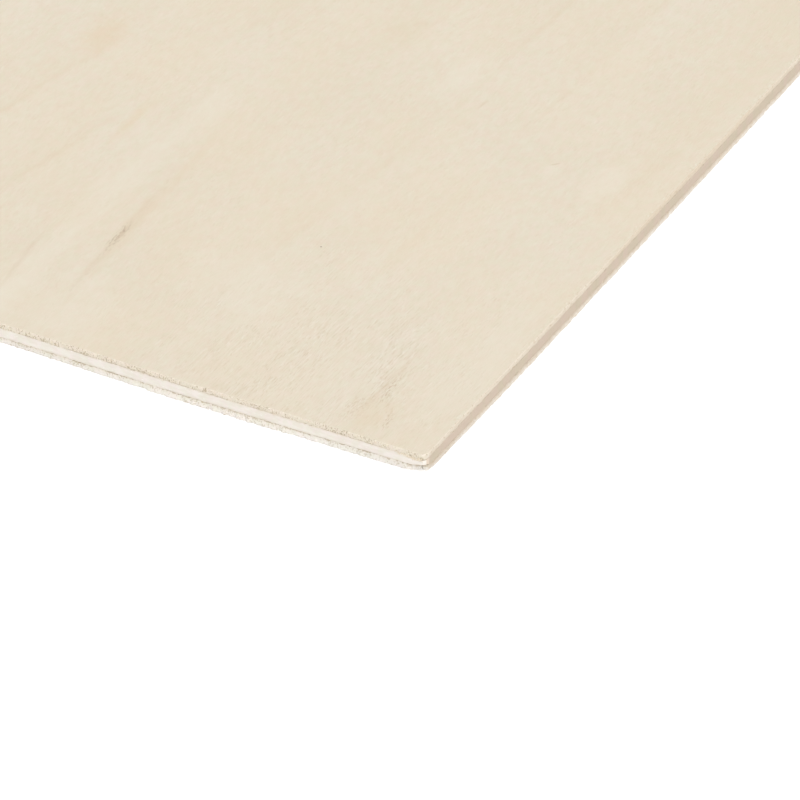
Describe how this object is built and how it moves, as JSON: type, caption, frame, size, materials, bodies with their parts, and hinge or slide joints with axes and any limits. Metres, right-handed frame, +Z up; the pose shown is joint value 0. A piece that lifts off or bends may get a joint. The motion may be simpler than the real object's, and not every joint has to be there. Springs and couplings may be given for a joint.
{
  "type": "plywood sheet",
  "caption": "Flat rectangular sheet of thin three-ply plywood: face and back veneers with grain along the length, glued over a thicker cross-grain core.",
  "frame": {"origin": "under the middle of the sheet, on the surface that it lies on", "axes": "+Y along the length and the face grain, +X across the width, +Z up out of the face veneer"},
  "size_m": [0.3, 0.6, 0.004],
  "materials": {
    "face_veneer": "sanded, bare",
    "core_veneer": "sawn, bare",
    "back_veneer": "sanded, bare"
  },
  "bodies": {
    "root": {"face_veneer": "face_veneer", "core_veneer": "core_veneer", "back_veneer": "back_veneer"}
  },
  "joints": []
}
